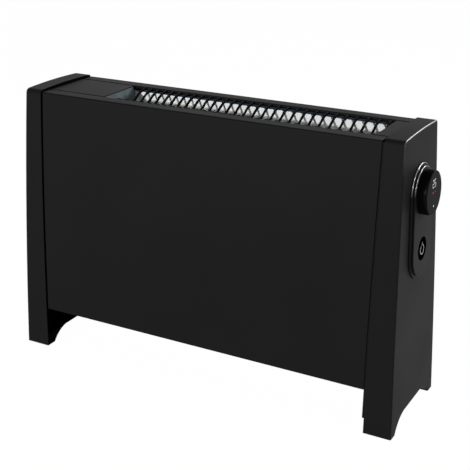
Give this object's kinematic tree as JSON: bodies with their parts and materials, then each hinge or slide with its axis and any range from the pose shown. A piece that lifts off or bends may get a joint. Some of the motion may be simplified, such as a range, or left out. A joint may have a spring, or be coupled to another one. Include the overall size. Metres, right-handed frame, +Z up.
{
  "type": "panel heater",
  "caption": "Free-standing black convector heater with a panel front, tapered end caps with feet, a barred top outlet, and a side dial with a push button.",
  "frame": {"origin": "on the floor under the middle of the outer box", "axes": "+X along the width, towards the controls; +Y from the front to the back; +Z up"},
  "size_m": [0.6297, 0.17, 0.413],
  "materials": {
    "black_steel": "fine satin powder coat",
    "grille_black": "satin black paint",
    "cap_plastic": "fine moulded texture",
    "inner_plastic": "plain black moulding",
    "module_plastic": "satin with polished edges",
    "gloss_black": "gloss",
    "display_black": "smoked satin lens",
    "drum_plastic": "plain moulding",
    "bright_sheet": "bright coated sheet",
    "element_metal": "dull fins",
    "ceramic": "glazed ceramic",
    "cutout_metal": "plated can",
    "wheel_plastic": "glass-filled moulding",
    "steel": "zinc plated",
    "board_green": "solder mask",
    "component_black": "moulded components",
    "terminal_plastic": "natural moulding",
    "rubber": "matt rubber"
  },
  "bodies": {
    "heater": {"front_panel": "black_steel", "back_panel": "black_steel", "top_cover_plate": "black_steel", "top_end_strip": "black_steel", "bottom_grille": "black_steel", "outlet_grille": "grille_black", "left_end_cap": "cap_plastic", "right_end_cap": "cap_plastic", "left_end_plate": "inner_plastic", "right_end_plate": "inner_plastic", "module_bezel": "module_plastic", "control_plate": "module_plastic", "display_lens": "display_black", "display_drum": "drum_plastic", "blower_housing": "drum_plastic", "rear_heat_shield": "bright_sheet", "front_heat_shield": "bright_sheet", "partition_plate": "bright_sheet", "chamber_end_plate": "bright_sheet", "heating_element": "element_metal", "element_bushes": "ceramic", "thermal_cutout": "cutout_metal", "blower_motor": "steel", "cap_screws_left": "steel", "cap_screws_right": "steel", "bottom_screws": "steel", "power_board": "board_green", "display_board": "board_green", "switch_board": "board_green", "relays": "component_black", "tilt_switch": "component_black", "power_switch": "component_black", "board_standoffs": "component_black", "terminal_block": "terminal_plastic", "foot_pads": "rubber", "cable_gland": "rubber", "wiring_loom": "rubber"},
    "dial": {"dial_ring": "gloss_black"},
    "button": {"power_button": "gloss_black"},
    "fan": {"blower_wheel": "wheel_plastic", "blower_shaft": "steel"}
  },
  "joints": [
    {"name": "dial_turn", "type": "hinge", "parent": "heater", "child": "dial", "pos_m": [0.30081, 0, 0.32968], "axis": [0.9995, 0, 0.0315], "continuous": true},
    {"name": "power_press", "type": "slide", "parent": "heater", "child": "button", "axis": [-0.9995, 0, -0.0315], "range_m": [0, 0.0012], "stiffness_N_per_m": 900},
    {"name": "fan_spin", "type": "hinge", "parent": "heater", "child": "fan", "pos_m": [-0.22435, 0, 0.18], "axis": [0, 1, 0], "continuous": true}
  ]
}
